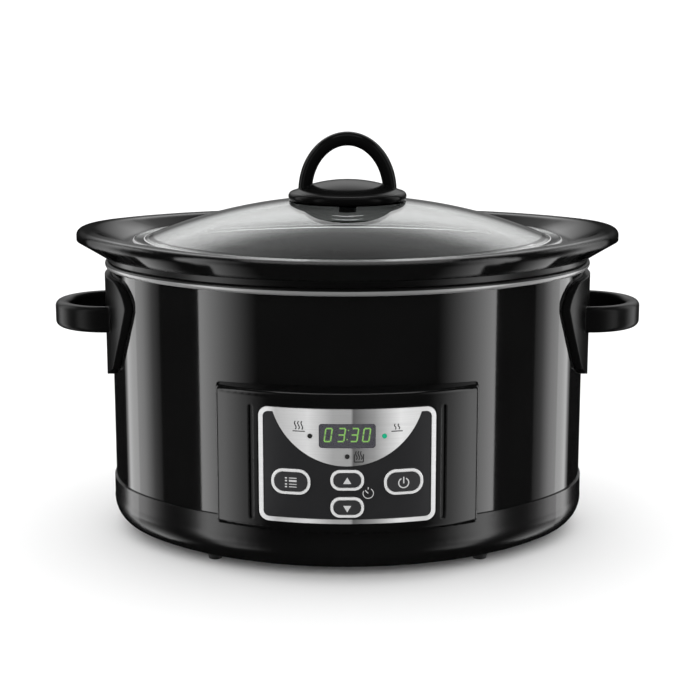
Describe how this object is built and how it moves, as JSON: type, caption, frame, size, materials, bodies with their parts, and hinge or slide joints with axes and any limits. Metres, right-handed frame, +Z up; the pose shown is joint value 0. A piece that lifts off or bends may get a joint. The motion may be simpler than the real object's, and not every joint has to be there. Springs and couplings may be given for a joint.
{
  "type": "slow cooker",
  "caption": "Oval slow cooker: gloss black heated housing with side handles and a timer panel, a lift-out glazed pot with winged rim, and a domed glass lid with an arched knob.",
  "frame": {"origin": "on the table, under the middle of the oval housing", "axes": "+X towards the right handle seen from the front, -Y towards the control panel, +Z up"},
  "size_m": [0.397, 0.2804, 0.2696],
  "materials": {
    "black_enamel": "gloss black enamel on sheet steel",
    "polished_steel": "polished rolled steel",
    "bare_aluminium": "bare drawn aluminium",
    "mica_band": "mica laminate",
    "dark_plastic": "moulded plastic casing",
    "satin_black_plastic": "satin moulded black",
    "gloss_black_plastic": "gloss moulded black",
    "black_rubber": "matt soft rubber",
    "zinc_screws": "zinc plated",
    "green_board": "solder mask",
    "silver_trim": "satin brushed silver",
    "graphite_panel": "satin graphite",
    "smoked_window": "smoked clear plastic",
    "green_lamp": "lit green lens",
    "clear_lamp": "unlit smoked lens",
    "black_glaze": "gloss black glaze",
    "clear_glass": "clear tempered glass",
    "button_grey": "satin moulded grey"
  },
  "bodies": {
    "housing": {"outer_shell": "black_enamel", "rim_ring": "polished_steel", "heating_well": "bare_aluminium", "heater_band": "mica_band", "temperature_sensor": "bare_aluminium", "thermal_cutout": "dark_plastic", "base_tray": "satin_black_plastic", "rubber_feet": "black_rubber", "base_screws": "zinc_screws", "cord_gland": "black_rubber", "power_board": "green_board", "relay": "dark_plastic", "transformer": "dark_plastic", "handle_left": "satin_black_plastic", "handle_right": "satin_black_plastic", "handle_screws": "zinc_screws", "control_housing": "gloss_black_plastic", "fascia_frame": "silver_trim", "fascia_plate": "graphite_panel", "button_bezels": "silver_trim", "display_window": "smoked_window", "display_module": "dark_plastic", "low_led": "green_lamp", "idle_leds": "clear_lamp", "control_board": "green_board", "tact_switches": "dark_plastic"},
    "pot": {"stoneware_pot": "black_glaze"},
    "lid": {"lid_glass": "clear_glass", "lid_knob": "gloss_black_plastic", "knob_washer": "black_rubber", "knob_screw": "zinc_screws"},
    "select_button": {"select_button": "button_grey"},
    "up_button": {"up_button": "button_grey"},
    "down_button": {"down_button": "button_grey"},
    "power_button": {"power_button": "button_grey"}
  },
  "joints": [
    {"name": "pot_lift", "type": "slide", "parent": "housing", "child": "pot", "axis": [0, 0, 1], "range_m": [0, 0.18]},
    {"name": "lid_lift", "type": "slide", "parent": "pot", "child": "lid", "axis": [0, 0, 1], "range_m": [0, 0.12]},
    {"name": "select_press", "type": "slide", "parent": "housing", "child": "select_button", "axis": [0, 1, 0], "range_m": [0, 0.0008], "stiffness_N_per_m": 600},
    {"name": "up_press", "type": "slide", "parent": "housing", "child": "up_button", "axis": [0, 1, 0], "range_m": [0, 0.0008], "stiffness_N_per_m": 600},
    {"name": "down_press", "type": "slide", "parent": "housing", "child": "down_button", "axis": [0, 1, 0], "range_m": [0, 0.0008], "stiffness_N_per_m": 600},
    {"name": "power_press", "type": "slide", "parent": "housing", "child": "power_button", "axis": [0, 1, 0], "range_m": [0, 0.0008], "stiffness_N_per_m": 600}
  ]
}
